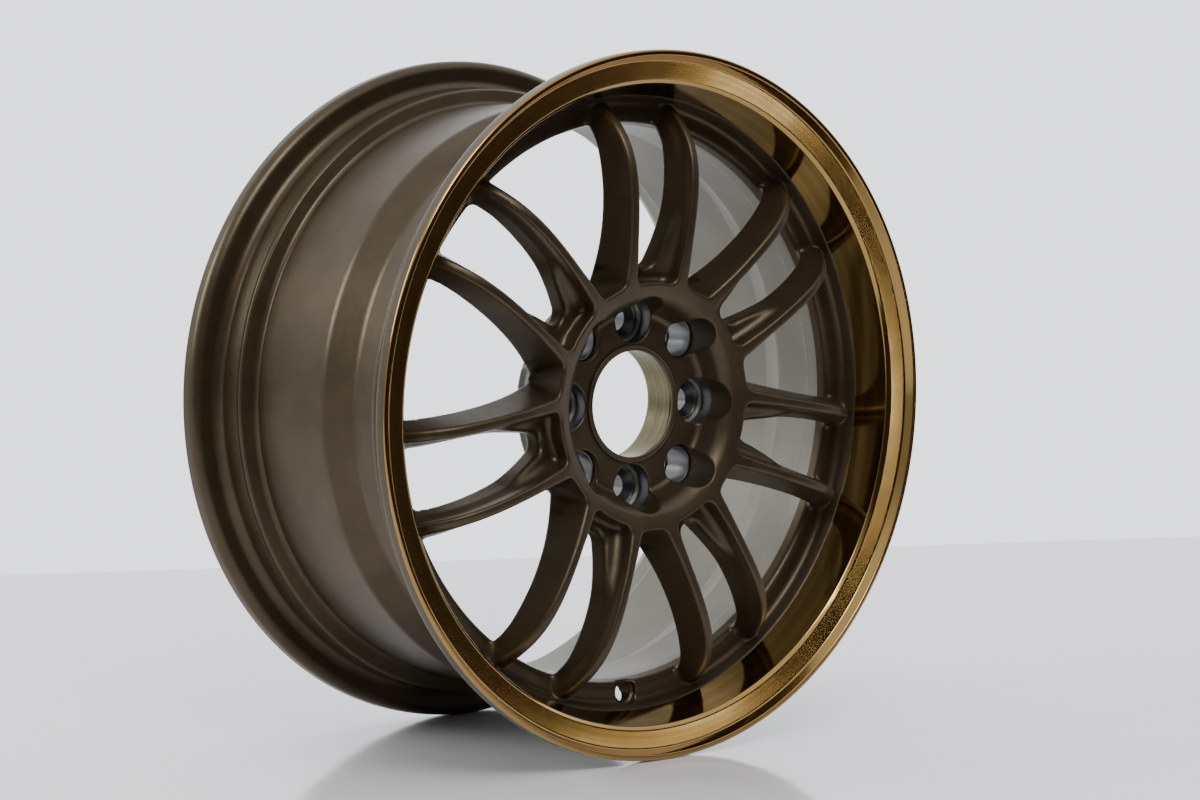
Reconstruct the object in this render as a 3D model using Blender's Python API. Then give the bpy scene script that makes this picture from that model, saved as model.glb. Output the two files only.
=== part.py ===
"""Forged racing wheel rim, 15 x 7 inch, as separate solids in one frame.

The wheel spins about Y. Its street face looks along -Y, +Z is up, and the origin is on the axis, midway
between the two flanges. The valve hole is straight down, and one pair of spokes points straight up.
"""

import math

import bmesh
import bpy

MM = 0.001

# Rim, after the 15 x 7J contour
FLANGE_R = 207.6
FLANGE_FACE_Y = 88.9
FLANGE_CURL = 9.5
SEAT_R = 190.1
SEAT_TAPER = math.tan(math.radians(5))
BEAD_FILLET = 6.5
WELL_R = 170.0
DRUM_R = 179.6
GAP = 0.3

# Where the rim is divided along the axis
LIP_SPLIT_Y = -71.5
RING_SPLIT_Y = -45.8
DRUM_SPLIT_Y = 58.0

# Hub: a drum with a dish in its street side and a mounting pad behind
DRUM_OUTER_R = 72.3
PAD_R = 68.0
WEB_R = 72.3
PAD_Y = -40.0
LUG_FACE_Y = -65.6
BORE_R = 33.7
CAP_LIP_R = 31.7
BORE_RING_R = 35.0
CARDINAL_PCD = 100.0
DIAGONAL_PCD = 108.0
CARDINAL_BORE_R = 13.9
SEAT_OUTER_R = 11.8
SEAT_FLOOR_Y = -55.2
STUD_HOLE_R = 7.2
SLEEVE_OUTER_R = 11.7
SLEEVE_BORE_R = 10.9
SLEEVE_END_Y = -61.6

# Spokes
PAIRS = 7
SPOKE_START = 66.0
SPOKE_END = 181.5
SPOKE_STATIONS = 12
RIDGE_HALF = 2.4
LEDGE_DEPTH = 0.42
LEDGE_WIDTH = 9.0
LEDGE_START = 80.0
LEDGE_END = 116.0
RING_INNER_R = 165.2

# Valve hole
VALVE_R = 5.75
VALVE_BORE_R = 7.8
VALVE_AT_R = 172.6
VALVE_TILT = math.radians(8)

RIM_STEPS = 56
HUB_STEPS = 56
HOLE_STEPS = 18


def clear_scene():
    for old in list(bpy.data.objects):
        bpy.data.objects.remove(old, do_unlink=True)


def material(name, color, metallic, roughness, coat=0.0):
    made = bpy.data.materials.new(name)
    made.use_nodes = True
    shader = made.node_tree.nodes["Principled BSDF"]
    shader.inputs["Base Color"].default_value = (*color, 1.0)
    shader.inputs["Metallic"].default_value = metallic
    shader.inputs["Roughness"].default_value = roughness
    shader.inputs["Coat Weight"].default_value = coat
    made.diffuse_color = (*color, 1.0)
    return made


def satin_bronze():
    return material("satin_bronze", (0.085, 0.060, 0.040), 0.55, 0.42)


def barrel_bronze():
    return material("barrel_bronze", (0.105, 0.080, 0.055), 0.55, 0.36)


def polished_bronze():
    return material("polished_bronze", (0.45, 0.30, 0.15), 1.0, 0.14, 0.6)


def machined_alloy():
    return material("machined_alloy", (0.56, 0.55, 0.53), 1.0, 0.32)


def bore_alloy():
    return material("bore_alloy", (0.50, 0.42, 0.30), 1.0, 0.30)


def add_object(name, mesh, slot, smooth_angle=30):
    made = bpy.data.objects.new(name, mesh)
    bpy.context.scene.collection.objects.link(made)
    if slot is not None:
        mesh.materials.clear()
        mesh.materials.append(slot)
    mesh.shade_smooth()
    mesh.set_sharp_from_angle(angle=math.radians(smooth_angle))
    return made


def outward(bm):
    bmesh.ops.recalc_face_normals(bm, faces=bm.faces)
    if bm.calc_volume(signed=True) < 0:
        bmesh.ops.reverse_faces(bm, faces=bm.faces)


def revolved(name, profile, steps):
    """A closed outline of (radius, y) points in millimetres, turned once round the Y axis.

    The outline may be a function of the step, for a shape that changes on its way round.
    """
    bm = bmesh.new()
    rings = []
    for step in range(steps):
        turn = 2 * math.pi * step / steps
        outline = profile(step) if callable(profile) else profile
        ring = [
            bm.verts.new((r * math.cos(turn) * MM, y * MM, r * math.sin(turn) * MM))
            for r, y in outline
        ]
        rings.append(ring)
    count = len(rings[0])
    for step in range(steps):
        here, there = rings[step], rings[(step + 1) % steps]
        for i in range(count):
            j = (i + 1) % count
            bm.faces.new((here[i], here[j], there[j], there[i]))
    bmesh.ops.triangulate(bm, faces=bm.faces)
    outward(bm)
    mesh = bpy.data.meshes.new(name)
    bm.to_mesh(mesh)
    bm.free()
    return mesh


def plug(name, profile, steps):
    """A solid of revolution about its own Y axis: (radius, y) from one flat end to the other."""
    bm = bmesh.new()
    rings = [
        [
            bm.verts.new(
                (
                    r * math.cos(2 * math.pi * step / steps) * MM,
                    y * MM,
                    r * math.sin(2 * math.pi * step / steps) * MM,
                )
            )
            for step in range(steps)
        ]
        for r, y in profile
    ]
    for below, above in zip(rings, rings[1:]):
        for step in range(steps):
            after = (step + 1) % steps
            bm.faces.new((below[step], below[after], above[after], above[step]))
    bm.faces.new(rings[0])
    bm.faces.new(rings[-1])
    outward(bm)
    mesh = bpy.data.meshes.new(name)
    bm.to_mesh(mesh)
    bm.free()
    return mesh


def cutter(name, mesh):
    made = add_object(name, mesh, None)
    made.hide_render = True
    made.display_type = "WIRE"
    return made


def cut(target, tool):
    change = target.modifiers.new("cut_" + tool.name, "BOOLEAN")
    change.operation = "DIFFERENCE"
    change.solver = "EXACT"
    change.object = tool


def arc(centre, radius, start, end, count):
    """Points on an arc in the (radius, y) plane, angles in degrees from the +radius direction."""
    points = []
    for i in range(count):
        turn = math.radians(start + (end - start) * i / (count - 1))
        points.append((centre[0] + radius * math.cos(turn), centre[1] + radius * math.sin(turn)))
    return points


def seat_radius(depth_from_face):
    """Radius of the bead seat at a distance inboard of the flange face."""
    return SEAT_R - SEAT_TAPER * depth_from_face


def tyre_side(inboard_y):
    """Bead seat, bead fillet and flange curl on the tyre side, for a flange on the +Y side."""
    fillet_at = (SEAT_R + BEAD_FILLET, FLANGE_FACE_Y - BEAD_FILLET)
    curl_at = (FLANGE_R - FLANGE_CURL, FLANGE_FACE_Y + FLANGE_CURL)
    points = [(seat_radius(FLANGE_FACE_Y - inboard_y), inboard_y)]
    points += arc(fillet_at, BEAD_FILLET, 180, 90, 3)
    points += arc(curl_at, FLANGE_CURL, -90, 0, 4)
    return points


def mirrored(profile):
    return [(r, -y) for r, y in profile]


def lip_profile():
    """Tyre side first, then over the rolled edge and down the deep wall on the street side."""
    start = -LIP_SPLIT_Y + GAP / 2
    points = mirrored(tyre_side(start))
    points += [(207.0, -100.4), (205.4, -101.3), (204.1, -100.7)]
    points += [(203.2, -98.2), (201.4, -96.2), (199.7, -95.5)]
    points += [(191.6, -94.5), (189.0, -93.2), (187.9, -90.6)]
    points += [(184.9, -80.5), (182.1, -start)]
    return points


def rear_flange_profile():
    start = DRUM_SPLIT_Y + GAP / 2
    points = [(DRUM_R, start), (180.2, 63.8), (188.2, 66.8), (189.4, 68.4)]
    points += tyre_side(71.5)
    points += [(206.6, 101.2), (204.6, 101.4), (203.0, 99.6)]
    points += [(200.2, 96.2), (191.5, 94.4), (186.2, 90.5)]
    points += [(184.0, 84.0), (183.2, 69.5), (174.4, start)]
    return points


def barrel_profile():
    front = RING_SPLIT_Y + GAP / 2
    back = DRUM_SPLIT_Y - GAP / 2
    outside = [(WELL_R, front), (WELL_R, -23.0), (171.2, -19.0), (178.4, -5.0), (DRUM_R, -1.0), (DRUM_R, back)]
    inside = [(174.4, back), (174.4, 0.5), (173.2, -3.5), (166.2, -17.5), (165.0, -22.0), (165.0, front)]
    return outside + inside


def spoke_ring_profile():
    front = LIP_SPLIT_Y + GAP / 2
    back = RING_SPLIT_Y - GAP / 2
    street = [(RING_INNER_R, back), (165.5, -53.4), (166.5, -57.6), (168.6, -60.8), (171.0, -62.1)]
    street += [(176.5, -62.1), (179.4, -64.3), (181.0, -67.6), (181.9, front)]
    tyre = [(188.8, front), (190.2, -70.0), (190.9, -68.4), (189.8, -65.2)]
    tyre += [(187.2, -61.0), (172.6, -47.8), (WELL_R, back)]
    return street + tyre


def ring_clearance_profile():
    """The street side of the spoke ring moved out by the gap, closed well inside the ring."""
    return [
        (164.9, -30.0), (164.9, -53.3), (166.1, -57.8), (168.4, -61.1), (171.0, -62.4), (176.4, -62.4),
        (179.2, -64.6), (180.7, -67.8), (181.6, -72.0), (186.0, -90.0), (200.0, -90.0), (200.0, -30.0),
    ]


def front_y(r):
    """Depth of the bowed street surface that hub and spokes share, at a distance r from the axis."""
    q = r / 100 - 1.2
    return -94.06 - 4.86 * q + 30.5 * q**2 + 54.3 * q**3 + 75.6 * q**4


def hub_profile(step):
    """Seven webs, one behind each wide gap between spoke pairs, reach past the mounting pad."""
    web = step % (HUB_STEPS // PAIRS) in (1, 2, 3)
    rear_r, rear_y = (WEB_R, -45.6) if web else (PAD_R, -50.8)
    return [
        (BORE_RING_R + GAP, PAD_Y), (BORE_RING_R + GAP, LUG_FACE_Y), (51.6, LUG_FACE_Y), (54.8, -66.8),
        (56.6, -70.4), (59.3, -78.0), (61.2, -81.4), (65.2, front_y(65.2)), (70.6, front_y(70.6)),
        (DRUM_OUTER_R, -85.4), (DRUM_OUTER_R, -56.6), (rear_r, rear_y), (PAD_R, -45.0), (PAD_R, PAD_Y),
    ]


def hub_clearance_profile():
    """The outer side of the hub moved out by the gap, closed well inside the hub."""
    outer = DRUM_OUTER_R + GAP
    return [(outer, -120.0), (outer, -30.0), (50.0, -30.0), (50.0, -120.0)]


def bore_ring_profile():
    """The spigot bore, a groove for a cap's spring ring and a raised lip in front of it."""
    back = PAD_Y - 0.4
    return [
        (BORE_RING_R, back), (BORE_R + 0.8, back), (BORE_R, -42.4), (BORE_R, -49.3), (BORE_R - 0.6, -50.0),
        (BORE_R - 0.7, -61.8), (BORE_R - 0.1, -62.6), (BORE_R - 0.1, -64.2), (CAP_LIP_R, -65.0),
        (CAP_LIP_R, -66.9), (BORE_RING_R - 0.3, -67.1), (BORE_RING_R, -66.6),
    ]


def lug_seat_profile():
    """A narrow land, a groove and the cone that the nut pulls down on."""
    back = PAD_Y - 0.4
    return [
        (SEAT_OUTER_R, back), (SEAT_OUTER_R, SEAT_FLOOR_Y - 0.1), (11.2, SEAT_FLOOR_Y - 0.1),
        (10.9, SEAT_FLOOR_Y + 1.0), (10.4, SEAT_FLOOR_Y + 0.6), (STUD_HOLE_R, SEAT_FLOOR_Y + 6.3),
        (STUD_HOLE_R, back),
    ]


def lug_sleeve_profile():
    """A plain bored sleeve with a small stop lip at its far end."""
    back = PAD_Y - 0.4
    return [
        (SLEEVE_OUTER_R, back), (SLEEVE_OUTER_R, SLEEVE_END_Y), (SLEEVE_BORE_R, SLEEVE_END_Y + 0.3),
        (SLEEVE_BORE_R - 0.2, -42.6), (9.6, -41.8), (9.6, back),
    ]


def lug_tool_profile(bore_r, floor_y, through_r):
    return [(bore_r, -110.0), (bore_r, floor_y), (through_r, floor_y), (through_r, -20.0)]


def under_y(u):
    """Depth of the spoke's rear edge, which drops to the back of the spoke ring at its outer end."""
    q = u / FLANGE_R - 0.6
    plain = FLANGE_R * (-0.3483 - 0.0094 * q + 0.8699 * q**2)
    foot = min(max(0.0, (u - 150.0) / 16.0), 1.0)
    return min(plain + 5.0 * foot**2, -57.0)


def ridge_x(u):
    q = u / FLANGE_R - 0.6
    return FLANGE_R * (0.1117 + 0.0703 * q - 0.0037 * q**2)


def outer_x(u):
    """Sideways place of the rear edge that faces away from the pair's other spoke."""
    q = min(u, 168.0) / FLANGE_R - 0.6
    return FLANGE_R * (0.1508 + 0.0531 * q + 0.2054 * q**2) + 3.0 * max(0.0, (u - 152.0) / 14.0)


def inner_x(u):
    """Sideways place of the rear edge that faces the pair's other spoke; the two meet near the hub."""
    q = min(u, 168.0) / FLANGE_R - 0.6
    plain = FLANGE_R * (0.0718 + 0.1571 * q - 0.5458 * q**2)
    return max(plain - 1.5 * max(0.0, (u - 152.0) / 14.0), 0.6)


def ledge_width(u):
    """Width of the step on the side that faces the pair's other spoke; it dies out along the spoke."""
    fade = min(max((LEDGE_END - u) / (LEDGE_END - LEDGE_START), 0.0), 1.0)
    return LEDGE_WIDTH * fade * (2 - fade)


def spoke_section(u):
    """Cross-section points (x, y) of the right-hand spoke of a pair, round from its street edge."""
    x, far = ridge_x(u), outer_x(u)
    top, low = front_y(math.hypot(u, x)), under_y(u)
    half = RIDGE_HALF + 1.4 * max(0.0, (96.0 - u) / 30.0)
    wall = x - half - 1.0
    ledge = top + LEDGE_DEPTH * (low - top)
    if u < LEDGE_START:
        near = edge = GAP
    else:
        near, edge = inner_x(u), wall - 0.8 - ledge_width(u)
    return [
        (x - half, top), (x + half, top), (x + half + 1.0, top + 1.0),
        (far, low - 1.5), (far - 1.5, low), (near + 1.5, low), (near, low - 1.5),
        (edge, ledge + 2.0), (wall - 0.4, ledge), (wall, top + 1.0),
    ]


def spoke_mesh(name, side):
    """One spoke running up +Z from the hub to the ring; side +1 or -1 is its place in the pair."""
    bm = bmesh.new()
    rings = []
    for i in range(SPOKE_STATIONS):
        u = SPOKE_START + (SPOKE_END - SPOKE_START) * i / (SPOKE_STATIONS - 1)
        rings.append([bm.verts.new((side * x * MM, y * MM, u * MM)) for x, y in spoke_section(u)])
    for below, above in zip(rings, rings[1:]):
        for i in range(len(below)):
            j = (i + 1) % len(below)
            bm.faces.new((below[i], below[j], above[j], above[i]))
    bm.faces.new(rings[0])
    bm.faces.new(rings[-1])
    bmesh.ops.triangulate(bm, faces=bm.faces)
    outward(bm)
    mesh = bpy.data.meshes.new(name)
    bm.to_mesh(mesh)
    bm.free()
    return mesh


def build_spokes(paint):
    ring_tool = cutter("ring_clearance", revolved("ring_clearance", ring_clearance_profile(), RIM_STEPS))
    hub_tool = cutter("hub_clearance", revolved("hub_clearance", hub_clearance_profile(), HUB_STEPS))
    shapes = {side: spoke_mesh(name, side) for side, name in ((-1, "spoke_left"), (1, "spoke_right"))}
    for pair in range(PAIRS):
        for place, side in enumerate((-1, 1)):
            number = 2 * pair + place + 1
            spoke = add_object(f"spoke_{number:02d}", shapes[side], paint, 35)
            spoke.rotation_euler = (0, 2 * math.pi * pair / PAIRS, 0)
            cut(spoke, ring_tool)
            cut(spoke, hub_tool)


def lug_places():
    """(angle, circle radius, is cardinal) of the eight lug holes, round from +X."""
    places = []
    for i in range(8):
        cardinal = i % 2 == 0
        circle = (CARDINAL_PCD if cardinal else DIAGONAL_PCD) / 2
        places.append((math.radians(45 * i), circle, cardinal))
    return places


def build_hub(paint, bare, bore):
    hub = add_object("hub", revolved("hub", hub_profile, HUB_STEPS), paint, 28)
    seat_tool = plug("seat_tool", lug_tool_profile(CARDINAL_BORE_R, SEAT_FLOOR_Y, SEAT_OUTER_R + GAP), HOLE_STEPS)
    sleeve_r = SLEEVE_OUTER_R + GAP
    sleeve_tool = plug("sleeve_tool", [(sleeve_r, -110.0), (sleeve_r, -20.0)], HOLE_STEPS)
    seat = revolved("lug_seat", lug_seat_profile(), HOLE_STEPS)
    sleeve = revolved("lug_sleeve", lug_sleeve_profile(), HOLE_STEPS)
    for i, (turn, circle, cardinal) in enumerate(lug_places()):
        where = (circle * math.cos(turn) * MM, 0, circle * math.sin(turn) * MM)
        kind, tool_mesh, lining = ("seat", seat_tool, seat) if cardinal else ("sleeve", sleeve_tool, sleeve)
        tool = cutter(f"lug_hole_{i + 1}", tool_mesh)
        lined = add_object(f"lug_{kind}_{i + 1}", lining, bare)
        tool.location = where
        lined.location = where
        cut(hub, tool)
    add_object("bore_ring", revolved("bore_ring", bore_ring_profile(), HUB_STEPS), bore)


def build_rim(paint, rim_paint, polished):
    ring = add_object("spoke_ring", revolved("spoke_ring", spoke_ring_profile(), RIM_STEPS), paint, 28)
    add_object("front_lip", revolved("front_lip", lip_profile(), RIM_STEPS), polished, 28)
    add_object("barrel", revolved("barrel", barrel_profile(), RIM_STEPS), rim_paint, 28)
    add_object("rear_flange", revolved("rear_flange", rear_flange_profile(), RIM_STEPS), rim_paint, 28)
    steps = [(VALVE_BORE_R, -20.0), (VALVE_BORE_R, 2.6), (VALVE_R, 3.4), (VALVE_R, 40.0)]
    valve = cutter("valve_tool", plug("valve_tool", steps, HOLE_STEPS))
    valve.location = (0, -62.1 * MM, -VALVE_AT_R * MM)
    valve.rotation_euler = (-VALVE_TILT, 0, 0)
    cut(ring, valve)


def main():
    clear_scene()
    paint = satin_bronze()
    build_hub(paint, machined_alloy(), bore_alloy())
    build_spokes(paint)
    build_rim(paint, barrel_bronze(), polished_bronze())


main()
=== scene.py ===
# %% [markdown]
# # A forged racing wheel rim
#
# This script dresses a bare 15 inch rim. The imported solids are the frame: hub, spokes, ring, lip, barrel
# and flange, each at its real size. Around them we build the finer surfaces that a camera sees. The wheel
# spins about Y, the street face looks along -Y and +Z is up. The frame is in metres; the shapes below are
# worked out in millimetres, as on a workshop drawing, and turned into metres when a mesh is made.

# %% Load the frame
import math

import bmesh
import bpy
import numpy as np
from mathutils import Matrix, Vector


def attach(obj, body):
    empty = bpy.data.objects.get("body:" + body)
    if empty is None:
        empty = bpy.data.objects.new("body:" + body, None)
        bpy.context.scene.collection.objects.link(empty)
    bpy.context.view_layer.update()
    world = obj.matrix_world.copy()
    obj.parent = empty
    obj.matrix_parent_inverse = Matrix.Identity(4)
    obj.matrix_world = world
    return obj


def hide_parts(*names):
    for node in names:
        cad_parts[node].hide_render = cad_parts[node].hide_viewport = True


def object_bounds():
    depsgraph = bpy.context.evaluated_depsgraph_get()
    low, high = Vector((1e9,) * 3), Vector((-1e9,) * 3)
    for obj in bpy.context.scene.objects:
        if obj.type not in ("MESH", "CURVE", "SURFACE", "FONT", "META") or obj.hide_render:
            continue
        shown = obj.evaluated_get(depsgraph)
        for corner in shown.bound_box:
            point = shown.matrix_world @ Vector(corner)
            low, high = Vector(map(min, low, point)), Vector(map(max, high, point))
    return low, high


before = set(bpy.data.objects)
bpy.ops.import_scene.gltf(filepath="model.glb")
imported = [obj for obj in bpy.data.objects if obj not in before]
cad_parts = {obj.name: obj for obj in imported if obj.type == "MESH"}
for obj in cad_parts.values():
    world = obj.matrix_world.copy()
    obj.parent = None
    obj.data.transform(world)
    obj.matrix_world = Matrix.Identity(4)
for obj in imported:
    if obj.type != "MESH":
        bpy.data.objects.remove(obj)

cad_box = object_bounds()
MM = 0.001
print("nodes in the frame:", len(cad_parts))

# %% [markdown]
# ## Writing materials as sums
#
# A material is a small network. Wiring it by hand hides the sum that it stands for, so one small class
# wraps a socket and turns Python's operators into Math nodes. Everything else, such as a noise or a ramp,
# comes from one method that takes a node's type, its settings and the values or links of its sockets.


# %% A signal in a material
class Signal:
    """A value on its way through a material; + - and * add Math nodes."""

    def __init__(self, finish, socket):
        self.finish = finish
        self.socket = socket

    def __add__(self, other):
        return self.finish.maths("ADD", self, other)

    def __sub__(self, other):
        return self.finish.maths("SUBTRACT", self, other)

    def __rsub__(self, other):
        return self.finish.maths("SUBTRACT", other, self)

    def __mul__(self, other):
        return self.finish.maths("MULTIPLY", self, other)

    __radd__ = __add__
    __rmul__ = __mul__


# %% A finish
class Finish:
    """One material: node() adds a node, and set() gives the surface its values."""

    def __init__(self, name):
        self.material = bpy.data.materials.new(name)
        self.material.use_nodes = True
        self.nodes = self.material.node_tree.nodes
        self.links = self.material.node_tree.links
        self.surface = self.nodes["Principled BSDF"]

    def feed(self, socket, value):
        if isinstance(value, Signal):
            self.links.new(value.socket, socket)
        elif hasattr(value, "__len__") and len(value) == 3 and socket.type == "RGBA":
            socket.default_value = (*value, 1.0)
        else:
            socket.default_value = value

    def node(self, kind, settings=None, values=None, output=0):
        made = self.nodes.new(kind)
        for key, value in (settings or {}).items():
            if key == "stops":
                self.set_stops(made.color_ramp, value)
            else:
                setattr(made, key, value)
        for key, value in (values or {}).items():
            self.feed(made.inputs[key], value)
        return Signal(self, made.outputs[output])

    def set_stops(self, ramp, stops):
        while len(ramp.elements) < len(stops):
            ramp.elements.new(0.5)
        for element, (place, value) in zip(ramp.elements, stops):
            element.position = place
            element.color = (*value, 1.0) if hasattr(value, "__len__") else (value, value, value, 1.0)

    def set(self, **values):
        for name, value in values.items():
            self.feed(self.surface.inputs[name.replace("_", " ")], value)

    def maths(self, operation, first, second=0.0):
        return self.node("ShaderNodeMath", {"operation": operation}, {0: first, 1: second})

    def place(self):
        """The point on the wheel, in metres, in the wheel's own frame."""
        return self.node("ShaderNodeTexCoord", output="Object")

    def noise(self, scale, detail=2.0, rough=0.5, at=None):
        values = {"Vector": at or self.place(), "Scale": scale, "Detail": detail, "Roughness": rough}
        return self.node("ShaderNodeTexNoise", values=values, output=0)

    def ramp(self, signal, low, high, start=0.0, end=1.0):
        """signal from low..high turned into start..end, held at both ends."""
        values = {0: signal, 1: low, 2: high, 3: start, 4: end}
        return self.node("ShaderNodeMapRange", {"clamp": True}, values)

    def blend(self, share, first, second):
        return self.node("ShaderNodeMix", {"data_type": "RGBA"}, {0: share, 6: first, 7: second}, output=2)

    def bump(self, height, distance, strength=1.0, over=None):
        values = {"Height": height, "Distance": distance, "Strength": strength}
        if over is not None:
            values["Normal"] = over
        return self.node("ShaderNodeBump", values=values)


# %% [markdown]
# ## The finishes
#
# The forging is sprayed with a satin bronze that holds fine metal flake: a grainy skin less than a tenth
# of a millimetre deep, a little lighter where the coat is thin. The lip is turned on a lathe, polished
# and given a tinted clear coat, so it mirrors the room in gold and brown, with very fine turning lines
# round the axis.


# %% Satin bronze paint
FLAKE_SCALE, MOTTLE_SCALE, CLOUD_SCALE = 2400.0, 420.0, 38.0
FLAKE_LIGHTER = 1.55
SKIN_DEPTH = 0.00006


def bronze_paint(name, shade, light, rough, bare_and_sheen_mask=None, bare_and_sheen_look=None):
    """Bronze paint; where the given mask is 1, the surface takes the given look instead, such as unpainted
    alloy in the lug bores and a painted sheen on the ring's bore wall.
    """
    finish = Finish(name)
    grain = finish.noise(FLAKE_SCALE, 2.0, 0.6)
    cloud = finish.noise(CLOUD_SCALE, 3.0, 0.55)
    mottle = finish.noise(MOTTLE_SCALE, 3.0, 0.6)
    color = finish.blend(finish.ramp(cloud, 0.35, 0.65), shade, light)
    flake = tuple(c * FLAKE_LIGHTER for c in light)
    color = finish.blend(finish.ramp(grain, 0.56, 0.74), color, flake)
    metallic = finish.ramp(grain, 0.45, 0.7, 0.60, 0.85)
    roughness = finish.ramp(mottle, 0.3, 0.7, rough - 0.045, rough + 0.045)
    if bare_and_sheen_mask is not None:
        mask = bare_and_sheen_mask(finish)
        bare_and_sheen_color, bare_and_sheen_metallic, bare_and_sheen_rough = bare_and_sheen_look
        color = finish.blend(mask, color, bare_and_sheen_color)
        metallic = metallic + mask * (bare_and_sheen_metallic - metallic)
        roughness = roughness + mask * (bare_and_sheen_rough - roughness)
    finish.set(
        Base_Color=color,
        Metallic=metallic,
        Roughness=roughness,
        Normal=finish.bump(grain * 0.7 + mottle * 0.6, SKIN_DEPTH, 0.75),
    )
    return finish.material


# %% Where the bronze stops
BIG_LUG_CIRCLE, BIG_LUG_R, LUG_FACE = 0.050, 0.0145, -0.06505
RING_BORE_R, RING_BACK = 0.1665, -0.0541
BLUR = 0.0001


def xyz(finish):
    """The three coordinates of a point on the wheel, as signals."""
    point = finish.place()
    return [finish.node("ShaderNodeSeparateXYZ", values={0: point}, output=axis) for axis in "XYZ"]


def length(finish, a, b):
    """Length of the arrow (a, b)."""
    return finish.maths("SQRT", a * a + b * b)


def in_lug_bore(finish):
    """1 on the walls of the four large counterbores, below the lug face."""
    x, y, z = xyz(finish)
    x, z = finish.maths("ABSOLUTE", x), finish.maths("ABSOLUTE", z)
    off_circle = finish.maths("MAXIMUM", x, z) - BIG_LUG_CIRCLE
    reach = length(finish, off_circle, finish.maths("MINIMUM", x, z))
    inside = finish.ramp(reach, BIG_LUG_R - BLUR, BIG_LUG_R + BLUR, 1.0, 0.0)
    return inside * finish.ramp(y, LUG_FACE - BLUR, LUG_FACE + BLUR)


def on_ring_bore(finish):
    """1 on the wall of the ring that faces the axle, behind the spokes."""
    x, y, z = xyz(finish)
    inside = finish.ramp(length(finish, x, z), RING_BORE_R - BLUR, RING_BORE_R + BLUR, 1.0, 0.0)
    return inside * finish.ramp(y, RING_BACK - BLUR, RING_BACK + BLUR)


# %% Bronze paints
BRONZE = (0.062, 0.046, 0.026), (0.080, 0.060, 0.034)
BARREL_BRONZE = (0.058, 0.043, 0.024), (0.076, 0.057, 0.032)
BARE_ALLOY = (0.215, 0.22, 0.225), 1.0, 0.36
# The pale look for the ring's bore wall is a painted sheen: grazing light on the bronze, drawn as a lighter
# grey-green.
PALE_SHEEN_LOOK = (0.21, 0.205, 0.165), 0.35, 0.44
forging_paint = bronze_paint("forging_bronze", *BRONZE, 0.38)
hub_paint = bronze_paint("hub_bronze", *BRONZE, 0.38, in_lug_bore, BARE_ALLOY)
# On the ring's bore wall, behind the spokes, the bronze gives way to that painted sheen.
ring_paint = bronze_paint("ring_bronze", *BRONZE, 0.38, on_ring_bore, PALE_SHEEN_LOOK)
barrel_paint = bronze_paint("barrel_bronze_paint", *BARREL_BRONZE, 0.32)
print("bronze paints ready")


# %% Distance from the axle, for turned surfaces
def from_axle(finish):
    """Distance from the wheel's axis in metres, as a signal."""
    flat = finish.node(
        "ShaderNodeVectorMath", {"operation": "MULTIPLY"}, {0: finish.place(), 1: (1.0, 0.0, 1.0)}
    )
    return finish.node("ShaderNodeVectorMath", {"operation": "LENGTH"}, {0: flat}, output="Value")


def turning_lines(finish, pitch):
    """Height of fine lathe lines: a noise that changes across the wheel but hardly round it."""
    split = finish.node("ShaderNodeSeparateXYZ", values={0: finish.place()}, output="Y")
    at = finish.node("ShaderNodeCombineXYZ", values={0: from_axle(finish), 1: split, 2: 0.0})
    return finish.noise(1.0 / pitch, 2.0, 0.6, at=at)


# %% Polished bronze lip
LIP_TINTS = (0.30, 0.195, 0.066), (0.42, 0.295, 0.105)
COAT_TINT = (1.0, 0.86, 0.62)
FINE_PITCH, BROAD_PITCH = 0.00045, 0.006


def polished_lip():
    finish = Finish("polished_lip")
    lines = turning_lines(finish, FINE_PITCH)
    broad = turning_lines(finish, BROAD_PITCH)
    haze = finish.noise(55.0, 3.0, 0.5)
    tint = finish.blend(finish.ramp(broad, 0.3, 0.7), *LIP_TINTS)
    finish.set(
        Base_Color=tint,
        Metallic=1.0,
        Roughness=finish.ramp(haze * 0.5 + lines * 0.5, 0.35, 0.65, 0.075, 0.12),
        Coat_Weight=0.5,
        Coat_Roughness=0.05,
        Coat_Tint=COAT_TINT,
        Normal=finish.bump(lines, 0.0000022, 0.22),
    )
    return finish.material


def turned_metal(name, dark, light, rough, pitch):
    """Bare metal with the fine lines that a lathe leaves."""
    finish = Finish(name)
    lines = turning_lines(finish, pitch)
    cloud = finish.noise(160.0, 3.0, 0.5)
    finish.set(
        Base_Color=finish.blend(finish.ramp(lines * 0.7 + cloud * 0.3, 0.3, 0.7), dark, light),
        Metallic=1.0,
        Roughness=finish.ramp(lines, 0.3, 0.7, rough - 0.05, rough + 0.05),
        Normal=finish.bump(lines, 0.000003, 0.5),
    )
    return finish.material


SEAT_GREYS = (0.155, 0.16, 0.165), (0.225, 0.23, 0.235)
BORE_GOLDS = (0.135, 0.118, 0.066), (0.225, 0.198, 0.118)
lip_polish = polished_lip()
seat_metal = turned_metal("seat_metal", *SEAT_GREYS, 0.33, 0.0016)
bore_metal = turned_metal("bore_metal", *BORE_GOLDS, 0.30, 0.0024)
print("metal finishes ready")


# %% Pale inside finish: a painted sheen inside the barrel, primer on the back of the hub
SHEEN_AND_PRIMER_TONES = (0.185, 0.18, 0.145), (0.235, 0.23, 0.19)


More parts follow.
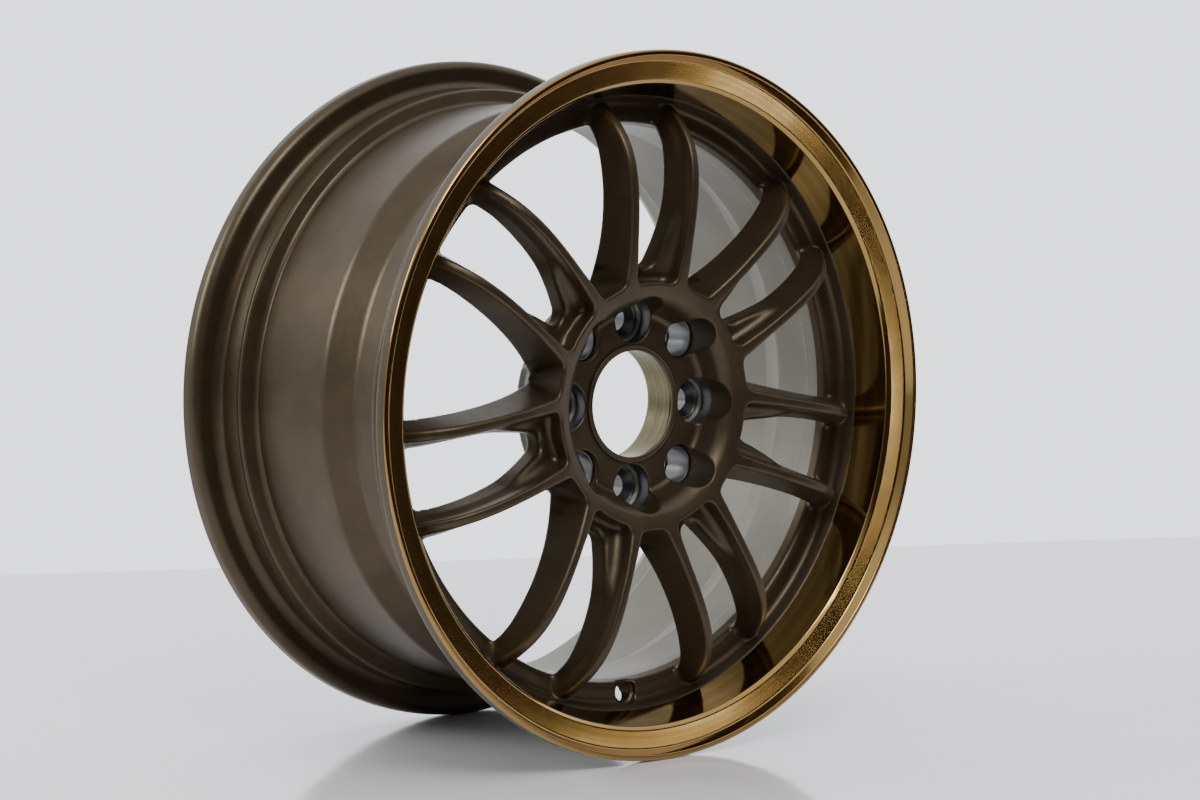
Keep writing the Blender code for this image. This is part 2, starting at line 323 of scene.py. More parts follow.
# Inside the barrel and the rear flange this pale grey-green is a painted sheen: grazing light on the
# bronze, drawn as a lighter colour. On the back of the hub it stands for primer.
def barrel_inside_sheen_and_primer():
    finish = Finish("barrel_inside_sheen_and_primer")
    mist = finish.noise(900.0, 3.0, 0.65)
    cloud = finish.noise(24.0, 3.0, 0.5)
    finish.set(
        Base_Color=finish.blend(finish.ramp(cloud, 0.3, 0.7), *SHEEN_AND_PRIMER_TONES),
        Metallic=0.35,
        Roughness=finish.ramp(mist, 0.3, 0.7, 0.38, 0.5),
        Normal=finish.bump(mist, 0.00003, 0.6),
    )
    return finish.material


sheen_and_primer_paint = barrel_inside_sheen_and_primer()


# %% [markdown]
# ## Turned pieces
#
# Lip, barrel, flange, seats and bore ring come off a lathe. A lathe needs only an outline of (radius,
# depth) points, so we draw the corners, round each with its own radius, and turn the outline round the
# axis. That keeps true round edges, which catch light in thin lines, at a few points each.


# %% Round the corners of an outline
SUPPORT = 0.35


def rounded(corners, step=9.0):
    """(r, y, radius) corners to an outline of arcs; a support point beside each arc keeps flats flat."""
    points = []
    count = len(corners)
    for i, (r, y, radius) in enumerate(corners):
        here = np.array((r, y))
        before = np.array(corners[i - 1][:2]) - here
        after = np.array(corners[(i + 1) % count][:2]) - here
        lengths = np.linalg.norm(before), np.linalg.norm(after)
        before, after = before / lengths[0], after / lengths[1]
        half = math.acos(max(-1.0, min(1.0, float(before @ after)))) / 2
        if radius < 0.01 or half > math.radians(88):
            points.append(tuple(here))
            continue
        reach = min(radius / math.tan(half), 0.49 * min(lengths))
        radius = reach * math.tan(half)
        middle = (before + after) / np.linalg.norm(before + after)
        centre = here + middle * radius / math.sin(half)
        start, end = here + before * reach - centre, here + after * reach - centre
        first = math.atan2(start[1], start[0])
        sweep = (math.atan2(end[1], end[0]) - first + math.pi) % (2 * math.pi) - math.pi
        pieces = max(1, math.ceil(abs(math.degrees(sweep)) / step))
        if lengths[0] > 2.5 * (reach + SUPPORT):
            points.append(tuple(here + before * (reach + SUPPORT)))
        for k in range(pieces + 1):
            turn = first + sweep * k / pieces
            points.append((centre[0] + radius * math.cos(turn), centre[1] + radius * math.sin(turn)))
        if lengths[1] > 2.5 * (reach + SUPPORT):
            points.append(tuple(here + after * (reach + SUPPORT)))
    return points


# %% Make an object from points and faces
def new_piece(name, mesh, materials, nodes, sharp=None):
    mesh.materials.clear()
    for finish in materials:
        mesh.materials.append(finish)
    mesh.shade_smooth()
    if sharp is not None:
        mesh.set_sharp_from_angle(angle=math.radians(sharp))
    piece = bpy.data.objects.new(name, mesh)
    bpy.context.scene.collection.objects.link(piece)
    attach(piece, "root")
    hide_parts(*nodes)
    return piece


def use_second(mesh, where):
    """Gives the second material to the faces for which where(centre in mm, normal) is true."""
    for face in mesh.polygons:
        face.material_index = int(where(face.center / MM, face.normal))


def outwards(centre, normal):
    """How far a normal points away from the axle: 1 straight out, -1 straight in."""
    return (normal.x * centre.x + normal.z * centre.z) / math.hypot(centre.x, centre.z)


def turned(name, outline, steps, at=(0.0, 0.0)):
    """The outline turned round an axis parallel to Y that passes through (x, z)."""
    turn = 2 * np.pi * np.arange(steps) / steps
    line = np.array(outline)
    x = at[0] + np.outer(np.cos(turn), line[:, 0])
    z = at[1] + np.outer(np.sin(turn), line[:, 0])
    y = np.broadcast_to(line[:, 1], x.shape)
    points = np.stack([x, y, z], axis=-1).reshape(-1, 3) * MM
    count = len(line)
    faces = []
    for s in range(steps):
        a, b = s * count, (s + 1) % steps * count
        for i in range(count):
            j = (i + 1) % count
            faces.append((a + i, a + j, b + j, b + i))
    mesh = bpy.data.meshes.new(name)
    mesh.from_pydata(points.tolist(), [], faces)
    outward(mesh)
    return mesh


def outward(mesh):
    """Turns every face of a closed mesh so that it faces out."""
    bm = bmesh.new()
    bm.from_mesh(mesh)
    bmesh.ops.recalc_face_normals(bm, faces=bm.faces)
    if bm.calc_volume(signed=True) < 0:
        bmesh.ops.reverse_faces(bm, faces=bm.faces)
    bm.to_mesh(mesh)
    bm.free()


# %% [markdown]
# ## The lip and the flanges
#
# A rim's tyre side is a standard shape: a bead seat on a five degree slope, a 6.5 mm fillet, a flat
# flange face and a 9.5 mm curl. The street side is the maker's own: a deep, slightly conical wall, a
# narrow band and a rolled edge.

# %% Rim sizes
FLANGE_R = 207.6
FACE_Y = 88.9
SEAT_R = 190.1
LIP_START = 71.4
RING_START = 45.8
DRUM_END = 58.0
RIM_STEPS = 288


def seat_radius(y):
    return SEAT_R - math.tan(math.radians(5)) * (FACE_Y - y)


# %% Front lip
lip_corners = [
    (seat_radius(LIP_START), -LIP_START, 0.2),
    (SEAT_R, -FACE_Y, 6.5),
    (FLANGE_R, -FACE_Y, 9.5),
    (FLANGE_R, -101.3, 1.7),
    (204.3, -101.3, 1.0),
    (201.5, -95.7, 1.4),
    (190.4, -94.3, 1.5),
    (188.3, -92.6, 1.5),
    (182.5, -72.9, 0.8),
    (182.1, -LIP_START, 0.15),
]
front_lip = new_piece(
    "front_lip_turned", turned("front_lip_turned", rounded(lip_corners), RIM_STEPS),
    [lip_polish, barrel_paint], ["front_lip"], 40,
)


def on_tyre_side(centre, normal):
    return normal.y > 0.35 or (outwards(centre, normal) > 0.35 and normal.y > -0.1)


use_second(front_lip.data, on_tyre_side)
print("lip points:", len(front_lip.data.vertices))

# %% Barrel
barrel_corners = [
    (170.0, -RING_START, 0.0),
    (170.0, -21.5, 8.0),
    (179.6, -2.5, 8.0),
    (179.6, DRUM_END, 0.0),
    (174.4, DRUM_END, 0.0),
    (174.4, 0.5, 8.0),
    (165.04, -19.0, 8.0),
    (165.04, -RING_START, 0.0),
]
rear_corners = [
    (179.6, DRUM_END, 0.0),
    (179.6, 64.2, 3.5),
    (188.6, 66.9, 1.8),
    (189.7, 68.4, 1.2),
    (188.9, 71.0, 1.5),
    (SEAT_R, FACE_Y, 6.5),
    (FLANGE_R, FACE_Y, 9.5),
    (FLANGE_R, 101.3, 2.2),
    (203.6, 101.3, 1.6),
    (198.8, 94.6, 3.0),
    (188.0, 93.6, 6.0),
    (183.6, 84.0, 5.0),
    (182.8, 68.0, 4.0),
    (174.4, DRUM_END + 3.0, 3.0),
    (174.4, DRUM_END, 0.0),
]
INSIDE_R = 188.5


def on_inside(centre, normal):
    return outwards(centre, normal) < 0 and math.hypot(centre.x, centre.z) < INSIDE_R


# Faces that look inward, inside the barrel and the rear flange, take the pale finish: a painted sheen of
# grazing light on the bronze.
for name, corners, nodes in (
    ("barrel_turned", barrel_corners, ["barrel"]),
    ("rear_flange_turned", rear_corners, ["rear_flange"]),
):
    mesh = turned(name, rounded(corners), RIM_STEPS)
    new_piece(name, mesh, [barrel_paint, sheen_and_primer_paint], nodes, 40)
    use_second(mesh, on_inside)
print("barrel and rear flange turned")

# %% [markdown]
# ## The forging as a field of distances
#
# Hub, spokes and ring flow into each other through fillets, and no fillet tool copes with so many meeting
# edges. So the forging is described as a field: a function that says how far a point is from the metal,
# negative inside. Two shapes are joined with `join`, which leaves a fillet of a given radius in the
# corner, and trimmed with `trim`, which leaves a rounded edge of a given radius.


# %% Joining and trimming fields
def trim(a, b, radius):
    """Where both are metal, with the edge between them rounded."""
    inside = np.minimum(np.maximum(a, b), -radius)
    return inside + np.hypot(np.maximum(a + radius, 0), np.maximum(b + radius, 0))


def join(a, b, radius):
    """Where either is metal, with the corner between them filled."""
    return -trim(-a, -b, radius)


# %% Fields of turned shapes
class TurnedField:
    """Distance to a turned outline, kept as a table over radius and depth."""

    STEP = 0.4

    def __init__(self, outline, margin=14.0):
        line = np.array(outline)
        self.low = line.min(0) - margin
        size = np.ceil((line.max(0) + margin - self.low) / self.STEP).astype(int) + 2
        r, y = np.meshgrid(*(self.low[k] + self.STEP * np.arange(size[k]) for k in (0, 1)), indexing="ij")
        nearest = np.full(r.shape, np.inf)
        crossings = np.zeros(r.shape, bool)
        for a, b in zip(line, np.roll(line, -1, axis=0)):
            edge = b - a
            along = np.clip(((r - a[0]) * edge[0] + (y - a[1]) * edge[1]) / (edge @ edge), 0, 1)
            gap = np.hypot(r - a[0] - along * edge[0], y - a[1] - along * edge[1])
            nearest = np.minimum(nearest, gap)
            if a[1] != b[1]:
                spans = (a[1] > y) != (b[1] > y)
                crossings ^= spans & (r < a[0] + (y - a[1]) * edge[0] / edge[1])
        self.table = np.where(crossings, -nearest, nearest)

    def __call__(self, r, y):
        i = np.clip((r - self.low[0]) / self.STEP, 0, self.table.shape[0] - 1.001)
        j = np.clip((y - self.low[1]) / self.STEP, 0, self.table.shape[1] - 1.001)
        ii, jj = i.astype(int), j.astype(int)
        i, j = i - ii, j - jj
        near = self.table[ii, jj] * (1 - j) + self.table[ii, jj + 1] * j
        far = self.table[ii + 1, jj] * (1 - j) + self.table[ii + 1, jj + 1] * j
        return near * (1 - i) + far * i


# %% Outlines of the hub drum, the dish in it, and the ring
DRUM_R = 72.6
LUG_FACE_Y = -65.6
drum_corners = [
    (-40.0, -130.0, 0.0),
    (DRUM_R, -130.0, 0.0),
    (DRUM_R, -57.0, 3.0),
    (68.0, -51.0, 3.0),
    (68.0, -40.0, 0.8),
    (-40.0, -40.0, 0.0),
]
dish_corners = [
    (-40.0, -130.0, 0.0),
    (78.3, -130.0, 0.0),
    (54.6, LUG_FACE_Y, 5.0),
    (-40.0, LUG_FACE_Y, 0.0),
]
ring_corners = [
    (165.0, -44.2, 0.0),
    (165.2, -53.4, 0.6),
    (167.2, -62.1, 4.0),
    (178.6, -62.1, 4.5),
    (181.9, -LIP_START, 0.15),
    (seat_radius(LIP_START), -LIP_START, 0.15),
    (190.9, -69.2, 1.6),
    (190.6, -65.5, 2.0),
    (187.0, -60.6, 3.0),
    (172.4, -47.4, 4.0),
    (170.1, -45.4, 0.0),
    (169.0, -44.2, 0.0),
]
drum_field = TurnedField(rounded(drum_corners, 12.0))
dish_field = TurnedField(rounded(dish_corners, 12.0))
ring_field = TurnedField(rounded(ring_corners, 12.0))
print("drum table", drum_field.table.shape, "ring table", ring_field.table.shape)

# %% [markdown]
# ## The spokes
#
# One bowed street surface runs over hub and spokes: it climbs from the dish, runs level and dives into
# the ring. Each pair of spokes mirrors itself about a radial line. In section a spoke is a wedge, narrow
# at the street edge and wide behind. On the side that faces its partner a ledge comes out at less than
# half depth near the hub and dies out along the spoke.

# %% Street surface and spoke lines
PAIRS = 7
PAIR_TURN = 2 * math.pi / PAIRS


def front_y(r):
    """Depth of the street surface at a distance r from the axle."""
    q = r / 100 - 1.2
    return -94.06 - 4.86 * q + 30.5 * q**2 + 54.3 * q**3 + 75.6 * q**4


def in_front(r, y):
    """Distance in front of the street surface."""
    r = np.clip(r, 45.0, 184.0)
    lean = (front_y(r + 0.5) - front_y(r - 0.5)) / 1.0
    return (front_y(r) - y) / np.hypot(1.0, lean)


def under_y(u):
    """Depth of the rear edge."""
    q = u / FLANGE_R - 0.6
    bow = FLANGE_R * (-0.3483 - 0.0094 * q + 0.8699 * q**2)
    return np.minimum(bow + 5.0 * np.clip((u - 150.0) / 16.0, 0, 1) ** 2, -57.0)


def ridge_x(u):
    q = u / FLANGE_R - 0.6
    return FLANGE_R * (0.1117 + 0.0703 * q - 0.0037 * q**2)


def outer_x(u):
    q = np.minimum(u, 170.0) / FLANGE_R - 0.6
    return FLANGE_R * (0.1508 + 0.0531 * q + 0.2054 * q**2)


def inner_x(u):
    q = np.clip(u, 60.0, 170.0) / FLANGE_R - 0.6
    return FLANGE_R * (0.0718 + 0.1571 * q - 0.5458 * q**2)


# %% One spoke as a field
LEDGE_DEPTH = 0.42
LEDGE_WIDTH = 9.0
LEDGE_START, LEDGE_END = 80.0, 116.0
LEDGE_REACH = 21.0


def ledge_field(x, u, y, wall, top, low):
    """The step on the side that faces the partner spoke; it closes the gap below LEDGE_START."""
    fade = np.clip((LEDGE_END - u) / (LEDGE_END - LEDGE_START), 0, 1)
    width = LEDGE_WIDTH * fade * (2 - fade)
    face = top + LEDGE_DEPTH * (low - top) + 0.22 * (wall - x)
    share = (y - face) / ((1 - LEDGE_DEPTH) * (low - top))
    edge = wall - width
    side = edge + (inner_x(u) - edge) * np.clip(share, 0, 1)
    opening = join((side - x) * 0.93, u - LEDGE_START, 6.5)
    step = trim((face - y) * 0.97, opening, 2.6)
    return np.maximum(step, -x - LEDGE_REACH)


def spoke_field(x, u, y, r):
    """Distance to the spoke at the +X side of its pair's centre line, which runs along u."""
    u_safe = np.clip(u, 50.0, 183.0)
    top, low = front_y(np.clip(r, 50.0, 183.0)), under_y(u_safe)
    depth = (y - top) / (low - top)
    half = 2.75 + 1.4 * np.clip((96.0 - u_safe) / 30.0, 0, 1)
    far_edge = ridge_x(u_safe) + half
    near_edge = ridge_x(u_safe) - half
    outer = (x - far_edge - depth * (outer_x(u_safe) - far_edge)) * 0.95
    wall = near_edge - 2.2 * depth
    ledge = ledge_field(x, u, y, near_edge - 2.2 * LEDGE_DEPTH, top, low)
    inner = join((wall - x) * 0.99, ledge, 4.4)
    body = trim(trim(outer, inner, 1.0), (y - low) * 0.97, 1.5)
    return trim(body, np.maximum(61.0 - u, r - 178.5), 1.5)


# %% The whole forging
LUG_HOLES = ((50.0, 13.9, -55.2, 12.1, 0.0), (54.0, 12.0, -61.6, 12.0, math.pi / 4))
VALVE_R, VALVE_TILT = 172.6, math.radians(8)
VALVE_Y, VALVE_LAND_R, VALVE_LAND_DEPTH, VALVE_HOLE_R = -62.1, 7.8, 3.0, 5.75
EDGE, DISH_EDGE = 1.6, 4.0
PAIR_FILLET, GAP_FILLET, HUB_FILLET, WEB_FILLET, RING_FILLET = 4.0, 5.0, 5.5, 4.0, 3.0
WEB_HALF, WEB_END_Y = 8.0, -45.0
HUB_BORE_R = 34.4


def drill(body, reach, y, bore, floor, through):
    """Takes a counterbore down to its floor and a smaller hole on through."""
    counterbore = np.maximum(reach - bore, y - floor)
    body = trim(body, -counterbore, 0.7)
    return trim(body, through - reach, 0.3)


def forging(points):
    """Distance to the forging for points in millimetres."""
    x, y, z = points.T
    r = np.hypot(x, z)
    turn = np.arctan2(x, z)
    near = np.abs((turn + PAIR_TURN / 2) % PAIR_TURN - PAIR_TURN / 2)
    other = PAIR_TURN - near
    spoke = spoke_field(r * np.sin(near), r * np.cos(near), y, r)
    partner = spoke_field(-r * np.sin(near), r * np.cos(near), y, r)
    neighbour = spoke_field(r * np.sin(other), r * np.cos(other), y, r)
    spokes = join(join(spoke, partner, PAIR_FILLET), neighbour, GAP_FILLET)
    across = r * np.sin(PAIR_TURN / 2 - near)
    web = trim(trim(r - DRUM_R, across - WEB_HALF, 3.0), y - WEB_END_Y, 1.5)
    body = join(join(drum_field(r, y), web, WEB_FILLET), spokes, HUB_FILLET)
    body = trim(body, in_front(r, y), EDGE)
    body = trim(body, -dish_field(r, y), DISH_EDGE)
    body = trim(body, HUB_BORE_R - r, 0.3)
    body = join(body, ring_field(r, y), RING_FILLET)
    for circle, bore, floor, through, first in LUG_HOLES:
        at = (np.arctan2(z, x) - first + math.pi / 4) % (math.pi / 2) - math.pi / 4
        reach = np.hypot(r * np.cos(at) - circle, r * np.sin(at))
        body = drill(body, reach, y, bore, floor, through)
    ahead, down = y - VALVE_Y, z + VALVE_R
    along = ahead * math.cos(VALVE_TILT) - down * math.sin(VALVE_TILT)
    off = down * math.cos(VALVE_TILT) + ahead * math.sin(VALVE_TILT)
    return drill(body, np.hypot(x, off), along, VALVE_LAND_R, VALVE_LAND_DEPTH, VALVE_HOLE_R)


# %% [markdown]
# ## From field to mesh
#
# A surface net drops one point in every small cube that the surface crosses and joins neighbouring cubes
# with quads. A few steps along the field's slope then put each point exactly on the surface. Unlike a
# boolean of meshes it never leaves slivers, and its quads stay even, which shows in smooth highlights.


# %% Surface net
def sample(field, low, counts, step):
    """Field values on a grid, worked out a slice at a time."""
    axes = [low[k] + step * np.arange(counts[k]) for k in range(3)]
    values = np.empty(counts, np.float32)
    y, z = np.meshgrid(axes[1], axes[2], indexing="ij")
    for i, x in enumerate(axes[0]):
        points = np.stack([np.full(y.size, x), y.ravel(), z.ravel()], axis=1)
        values[i] = field(points).reshape(y.shape)
    return values


def surface_net(field, low, high, step):
    """Points and quads of the surface where the field is zero, inside the box low..high."""
    low = np.array(low, float)
    counts = tuple(np.ceil((np.array(high) - low) / step).astype(int) + 1)
    values = sample(field, low, counts, step)
    metal = values < 0
    cells = tuple(c - 1 for c in counts)
    corners = [(a, b, c) for a in (0, 1) for b in (0, 1) for c in (0, 1)]
    total = sum(
        metal[a : a + cells[0], b : b + cells[1], c : c + cells[2]].astype(np.int8) for a, b, c in corners
    )
    crossed = (total > 0) & (total < 8)
    where = np.argwhere(crossed)
    number = np.full(cells, -1, np.int64)
    number[crossed] = np.arange(len(where))
    summed = np.zeros((len(where), 3))
    hits = np.zeros(len(where))
    for first in corners:
        for axis in range(3):
            if first[axis]:
                continue
            second = tuple(1 if k == axis else first[k] for k in range(3))
            a = values[tuple((where + first).T)]
            b = values[tuple((where + second).T)]
            cut = (a < 0) != (b < 0)
            share = np.where(cut, a / np.where(cut, a - b, 1), 0)
            spot = where + np.array(first) + share[:, None] * (np.array(second) - first)
            summed += np.where(cut[:, None], spot, 0)
            hits += cut
    points = low + step * summed / hits[:, None]
    faces = []
    for axis in range(3):
        one, two = (axis + 1) % 3, (axis + 2) % 3
        ahead = [slice(None)] * 3
        behind = [slice(None)] * 3
        ahead[axis], behind[axis] = slice(1, None), slice(None, -1)
        change = metal[tuple(ahead)] != metal[tuple(behind)]
        spots = np.argwhere(change)
        ok = (spots[:, one] > 0) & (spots[:, two] > 0)
        ok &= (spots[:, one] < counts[one] - 1) & (spots[:, two] < counts[two] - 1)
        spots = spots[ok]
        around = []
        for back_one, back_two in ((1, 1), (0, 1), (0, 0), (1, 0)):
            cell = spots.copy()
            cell[:, one] -= back_one
            cell[:, two] -= back_two
            around.append(number[tuple(cell.T)])
        quads = np.stack(around, axis=1)
        leaving = metal[tuple(spots.T)]
        quads[~leaving] = quads[~leaving][:, ::-1]
        faces.append(quads)
    return settle(field, points), np.concatenate(faces)


def slope(field, points, reach=0.05):
    """The field's slope along x, y and z."""
    out = np.empty_like(points)
    for k in range(3):
        shift = np.zeros(3)
        shift[k] = reach
        out[:, k] = (field(points + shift) - field(points - shift)) / (2 * reach)
    return out


def settle(field, points, rounds=4):
    """Moves points along the field's slope until they lie on the surface."""
    for _ in range(rounds):
        lean = slope(field, points)
        size = np.maximum((lean**2).sum(1), 0.05)
        move = -(field(points) / size)[:, None] * lean
        points = points + np.clip(move, -0.6, 0.6)
    return points


# %% [markdown]
# ## Dividing the forging
#
# The frame keeps hub, spokes and ring apart, so the fine surface is divided in the same way: at two
# cylinders, one just outside the hub and one just inside the ring. Each triangle that crosses a cylinder
# is cut on it, and the open end is closed with a flat cap that nobody sees.

# %% Cut a mesh on a field
HUB_CUT, RING_CUT = 84.0, 160.5


def cut_mesh(points, faces, level):
    """Keeps the side where level(points) is negative."""
    tris = faces
    if faces.shape[1] == 4:
        tris = np.concatenate([faces[:, [0, 1, 2]], faces[:, [0, 2, 3]]])
    value = level(points)
    value = np.where(np.abs(value) < 1e-4, 1e-4, value)
    keep = value < 0
    count = keep[tris].sum(1)
    whole = tris[count == 3]
    ends = {}
    extra = []

    def crossing(a, b):
        key = (min(a, b), max(a, b))
        if key not in ends:
            share = value[a] / (value[a] - value[b])
            ends[key] = len(points) + len(extra)
            extra.append(points[a] + share * (points[b] - points[a]))
        return ends[key]

    made = []
    for tri in tris[(count == 1) | (count == 2)]:
        inside = keep[tri]
        if inside.sum() == 1:
            k = int(np.argmax(inside))
            a, b, c = int(tri[k]), int(tri[(k + 1) % 3]), int(tri[(k + 2) % 3])
            made.append((a, crossing(a, b), crossing(a, c)))
        else:
            k = int(np.argmin(inside))
            a, b, c = int(tri[k]), int(tri[(k + 1) % 3]), int(tri[(k + 2) % 3])
            ab, ac = crossing(a, b), crossing(a, c)
            made.append((ab, b, c))
            made.append((ab, c, ac))
    points = np.concatenate([points, np.array(extra).reshape(-1, 3)])
    tris = np.concatenate([whole, np.array(made, int).reshape(-1, 3)])
    used, index = np.unique(tris, return_inverse=True)
    return points[used], index.reshape(-1, 3)


def closed_mesh(name, points, faces):
    """A mesh in metres whose open ends are capped, with a sharp edge round each cap."""
    mesh = bpy.data.meshes.new(name)
    mesh.from_pydata((points * MM).tolist(), [], faces.tolist())
    mesh.validate()
    bm = bmesh.new()
    bm.from_mesh(mesh)
    for face in bm.faces:
        face.smooth = True
    rims = [edge for edge in bm.edges if edge.is_boundary]
    if rims:
        caps = bmesh.ops.holes_fill(bm, edges=rims, sides=0)["faces"]
        for edge in rims:
            edge.smooth = False
        bmesh.ops.triangulate(bm, faces=caps)
    bm.normal_update()
    bm.to_mesh(mesh)
    bm.free()
    return mesh


# %% Hub
def axle_reach(points):
    return np.hypot(points[:, 0], points[:, 2])


HUB_BACK_Y = -56.5
HUB_BOX = (-88, -93, -88), (88, -37, 88)
hub_net = surface_net(forging, *HUB_BOX, 1.0)
hub_skin = cut_mesh(*hub_net, lambda p: axle_reach(p) - HUB_CUT)
hub_mesh = closed_mesh("forged_hub", *hub_skin)
new_piece("forged_hub", hub_mesh, [hub_paint, sheen_and_primer_paint], ["hub"])
use_second(hub_mesh, lambda centre, normal: centre.y > HUB_BACK_Y)
print("hub faces:", len(hub_mesh.polygons))

# %% Ring
RING_BOX = (-194, -93, -194), (194, -43, 194)
ring_net = surface_net(forging, *RING_BOX, 1.4)
ring_skin = cut_mesh(*ring_net, lambda p: RING_CUT - axle_reach(p))
ring_mesh = closed_mesh("forged_ring", *ring_skin)
new_piece("forged_ring", ring_mesh, [ring_paint], ["spoke_ring"])
print("ring faces:", len(ring_mesh.polygons))

# %% Spokes
SPOKE_BOX = (-3, -98, 72), (46, -52, 168)
CENTRE_GAP = 0.02
spoke_net = surface_net(forging, *SPOKE_BOX, 0.9)
spoke_skin = cut_mesh(*spoke_net, lambda p: HUB_CUT - axle_reach(p))
spoke_skin = cut_mesh(*spoke_skin, lambda p: axle_reach(p) - RING_CUT)
spoke_skin = cut_mesh(*spoke_skin, lambda p: CENTRE_GAP - p[:, 0])
right_points, right_faces = spoke_skin
left_points = right_points * (-1, 1, 1)
right_spoke = closed_mesh("forged_spoke_right", right_points, right_faces)
left_spoke = closed_mesh("forged_spoke_left", left_points, right_faces[:, ::-1])
for pair in range(PAIRS):
    for place, mesh in enumerate((left_spoke, right_spoke)):
        number = 2 * pair + place + 1
        spoke = new_piece(
            f"forged_spoke_{number:02d}", mesh, [forging_paint], [f"spoke_{number:02d}"]
        )
        spoke.rotation_euler = (0, pair * PAIR_TURN, 0)
print("spoke faces:", len(right_spoke.polygons))

# %% [markdown]
# ## Seats and bore ring
#
# The bottom of each lug hole is left bare. The four large holes have a narrow land, a groove and the cone
# that a nut pulls down on; the four others are plain bores. A thin ring lines the centre bore, a little
# proud of the lug face.

# %% Lug seats
def seat_outline(floor):
    """A narrow land, a groove and the 60 degree cone that a nut pulls down on."""
    return [
        (12.0, -40.2, 0.3),
        (12.0, floor - 0.1, 0.3),
        (11.3, floor - 0.1, 0.2),
        (11.1, floor + 1.0, 0.3),
        (10.6, floor + 1.0, 0.3),
        (10.4, floor + 0.3, 0.2),
        (7.2, floor + 6.3, 0.4),
        (7.2, -40.2, 0.4),
    ]


def sleeve_outline(floor):
    """A plain bored sleeve with a small stop lip at its far end."""
    return [
        (11.8, -40.2, 0.3),
        (11.8, floor, 0.3),
        (11.0, floor + 0.4, 0.3),
        (10.7, -42.6, 0.3),
        (9.6, -41.8, 0.2),
        (9.6, -40.2, 0.3),
    ]


for i in range(8):
    circle, bore, floor, through, first = LUG_HOLES[i % 2]
    turn = math.radians(45 * i)
    kind, draw = ("seat", seat_outline) if i % 2 == 0 else ("sleeve", sleeve_outline)
    name = f"nut_{kind}_{i + 1}"
    mesh = turned(name, rounded(draw(floor), 30.0), 72, (circle * math.cos(turn), circle * math.sin(turn)))
    new_piece(name, mesh, [seat_metal], [f"lug_{kind}_{i + 1}"], 40)

# %% Bore ring
BORE_PAINT_Y = -64.4
bore_corners = [
    (34.1, -40.4, 0.2),
    (33.7, -42.2, 0.3),
    (33.7, -49.0, 0.3),
    (33.25, -49.6, 0.3),
    (33.05, -61.8, 0.3),
    (33.6, -62.4, 0.3),
    (33.6, -64.0, 0.3),
    (31.7, -65.0, 0.35),
    (31.7, -66.6, 0.5),
    (32.6, -67.1, 0.5),
    (33.3, -66.6, 0.4),
    (34.1, -67.2, 0.6),
    (35.2, -66.9, 0.5),
    (35.2, -65.5, 0.1),
    (34.3, -65.5, 0.1),
    (34.3, -40.4, 0.3),
]
bore_mesh = turned("bore_ring_turned", rounded(bore_corners, 30.0), 160)
new_piece("bore_ring_turned", bore_mesh, [bore_metal, forging_paint], ["bore_ring"], 40)
use_second(bore_mesh, lambda centre, normal: centre.y < BORE_PAINT_Y)
print("seats and bore ring done")

# %% [markdown]
# ## The studio
#
# A pale floor that the rim stands on, a room that is bright behind the rim and dark in front of it, and
# two large soft lights. The polished lip is a mirror: three small strips stand where its flat band can
# see them, and draw the gold streaks below, above and to the right. The lens is long, low and left of the
# street face.

# %% Floor
FLOOR_LEFT, FLOOR_RIGHT, FLOOR_NEAR = -4.0, 1.5, -0.62
BACK_EDGE_Y, BACK_EDGE_SLOPE = 0.92, -0.398
floor_z = cad_box[0][2]
outline = [(FLOOR_LEFT, FLOOR_NEAR), (FLOOR_RIGHT, FLOOR_NEAR)]
outline += [(x, BACK_EDGE_Y + BACK_EDGE_SLOPE * x) for x in (FLOOR_RIGHT, FLOOR_LEFT)]
floor_mesh = bpy.data.meshes.new("studio_floor")
floor_mesh.from_pydata([(x, y, floor_z) for x, y in outline], [], [tuple(range(len(outline)))])
floor = bpy.data.objects.new("studio_floor", floor_mesh)
bpy.context.scene.collection.objects.link(floor)
floor_finish = Finish("studio_floor")
floor_finish.set(
    Base_Color=(0.80, 0.80, 0.82),
    Roughness=floor_finish.ramp(floor_finish.noise(3.0, 3.0), 0.3, 0.7, 0.07, 0.13),
    Normal=floor_finish.bump(floor_finish.noise(9.0, 3.0), 0.0012, 0.35),
)
floor_mesh.materials.append(floor_finish.material)

# %% Room: bright behind and above the wheel, darker on the street side
world = bpy.data.worlds.new("studio_room")
bpy.context.scene.world = world
world.use_nodes = True
room = world.node_tree
backdrop = room.nodes["Background"]
backdrop.inputs["Strength"].default_value = 1.0
coordinates = room.nodes.new("ShaderNodeTexCoord")
split = room.nodes.new("ShaderNodeSeparateXYZ")
room.links.new(coordinates.outputs["Generated"], split.inputs[0])


def room_share(axis, low, high):
    """0 where a direction's axis is below low, 1 above high, with a soft change between."""
    made = room.nodes.new("ShaderNodeMapRange")
    made.interpolation_type = "SMOOTHSTEP"
    made.inputs[1].default_value, made.inputs[2].default_value = low, high
    room.links.new(split.outputs[axis], made.inputs[0])
    return made.outputs[0]


def room_mix(share, first, second):
    """first where share is 0 and second where it is 1; either is a colour or a socket."""
    made = room.nodes.new("ShaderNodeMix")
    made.data_type = "RGBA"
    room.links.new(share, made.inputs[0])
    for socket, color in ((made.inputs[6], first), (made.inputs[7], second)):
        if isinstance(color, tuple):
            socket.default_value = (*color, 1.0)
        else:
            room.links.new(color, socket)
    return made.outputs[2]


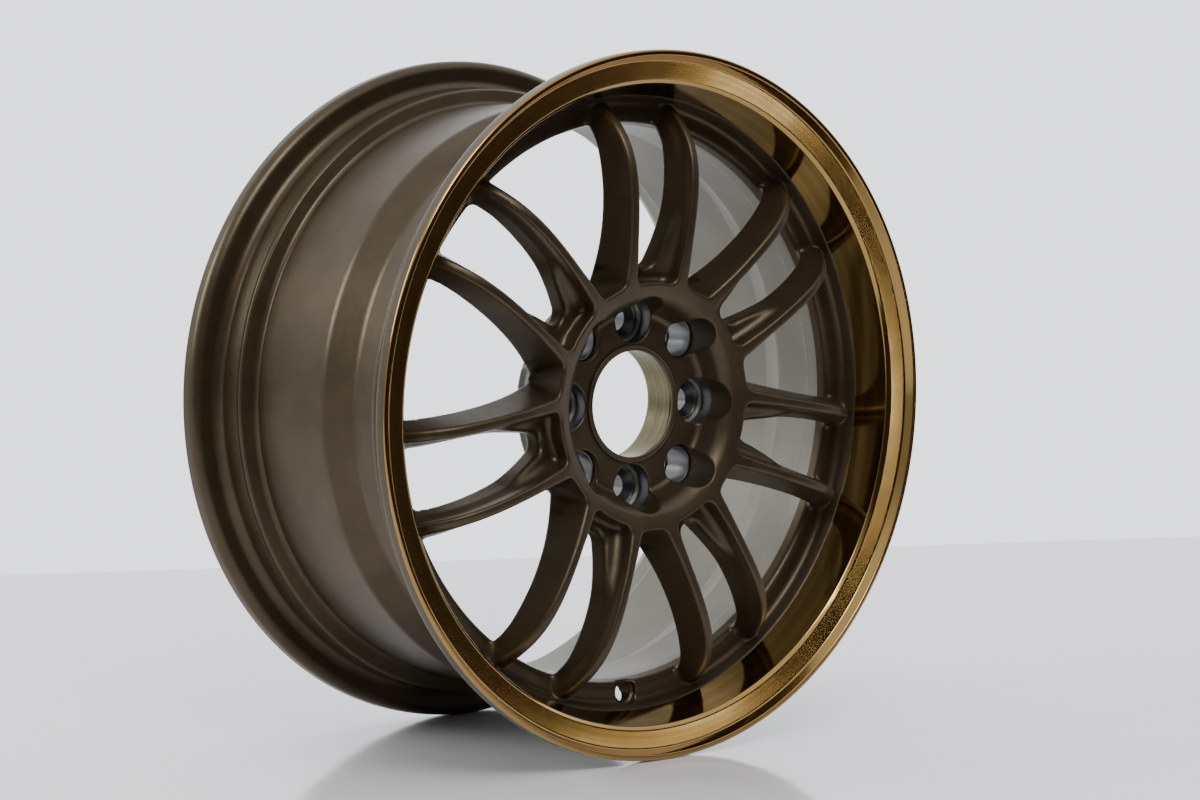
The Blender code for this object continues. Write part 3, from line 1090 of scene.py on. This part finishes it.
FRONT_WALL, CEILING = (0.056, 0.044, 0.035), (1.15, 1.15, 1.17)
BACK_LEFT, BACK_RIGHT = (0.62, 0.62, 0.63), (1.98, 2.03, 2.13)
back_wall = room_mix(room_share("X", -0.75, 0.15), BACK_LEFT, BACK_RIGHT)
walls = room_mix(room_share("Y", -0.55, 0.05), FRONT_WALL, back_wall)
room.links.new(room_mix(room_share("Z", 0.30, 0.75), walls, CEILING), backdrop.inputs["Color"])


# %% Lights
WHITE, KEY_WARM, STRIP_WARM, SMALL_WARM = (1, 1, 1), (1.0, 0.97, 0.93), (1.0, 0.95, 0.86), (1.0, 0.96, 0.88)


def soft_light(name, place, target, size, power, color):
    """A rectangular light at place that faces target; power is in watts."""
    light = bpy.data.lights.new(name, "AREA")
    light.shape = "RECTANGLE"
    light.size, light.size_y = size
    light.energy = power
    light.color = color
    made = bpy.data.objects.new(name, light)
    bpy.context.scene.collection.objects.link(made)
    made.location = place
    made.rotation_euler = (Vector(target) - Vector(place)).to_track_quat("-Z", "Y").to_euler()
    return made


soft_light("key_light", (-0.9, -1.9, 2.2), (0, 0, 0), (1.4, 1.0), 37.0, KEY_WARM)
soft_light("low_strip", (1.665, -1.993, -0.23), (0, -0.1, -0.19), (0.14, 0.05), 0.078, STRIP_WARM)
soft_light("high_strip", (1.626, -2.024, -0.152), (0.1, -0.1, 0.17), (0.09, 0.045), 0.050, STRIP_WARM)
soft_light("small_strip", (1.465, -2.147, -0.17), (0.2, -0.1, 0.0), (0.02, 0.04), 0.034, SMALL_WARM)
soft_light("side_light", (-2.4, 1.4, 1.4), (0, 0, 0), (1.4, 1.2), 45.0, WHITE)

# %% Camera
LENS_MM = 84.82
STAND_AT = (-1.0999, -1.3257, 0.1248)
TURN, PITCH, ROLL = math.radians(-40.455), math.radians(85.81), math.radians(0.65)
camera_data = bpy.data.cameras.new("studio_camera")
camera_data.lens = LENS_MM
camera_data.sensor_width = 36.0
camera = bpy.data.objects.new("studio_camera", camera_data)
bpy.context.scene.collection.objects.link(camera)
stand = Matrix.Translation(STAND_AT)
aim = Matrix.Rotation(TURN, 4, "Z") @ Matrix.Rotation(PITCH, 4, "X")
camera.matrix_world = Matrix.Rotation(-ROLL, 4, "Y") @ stand @ aim
bpy.context.scene.camera = camera
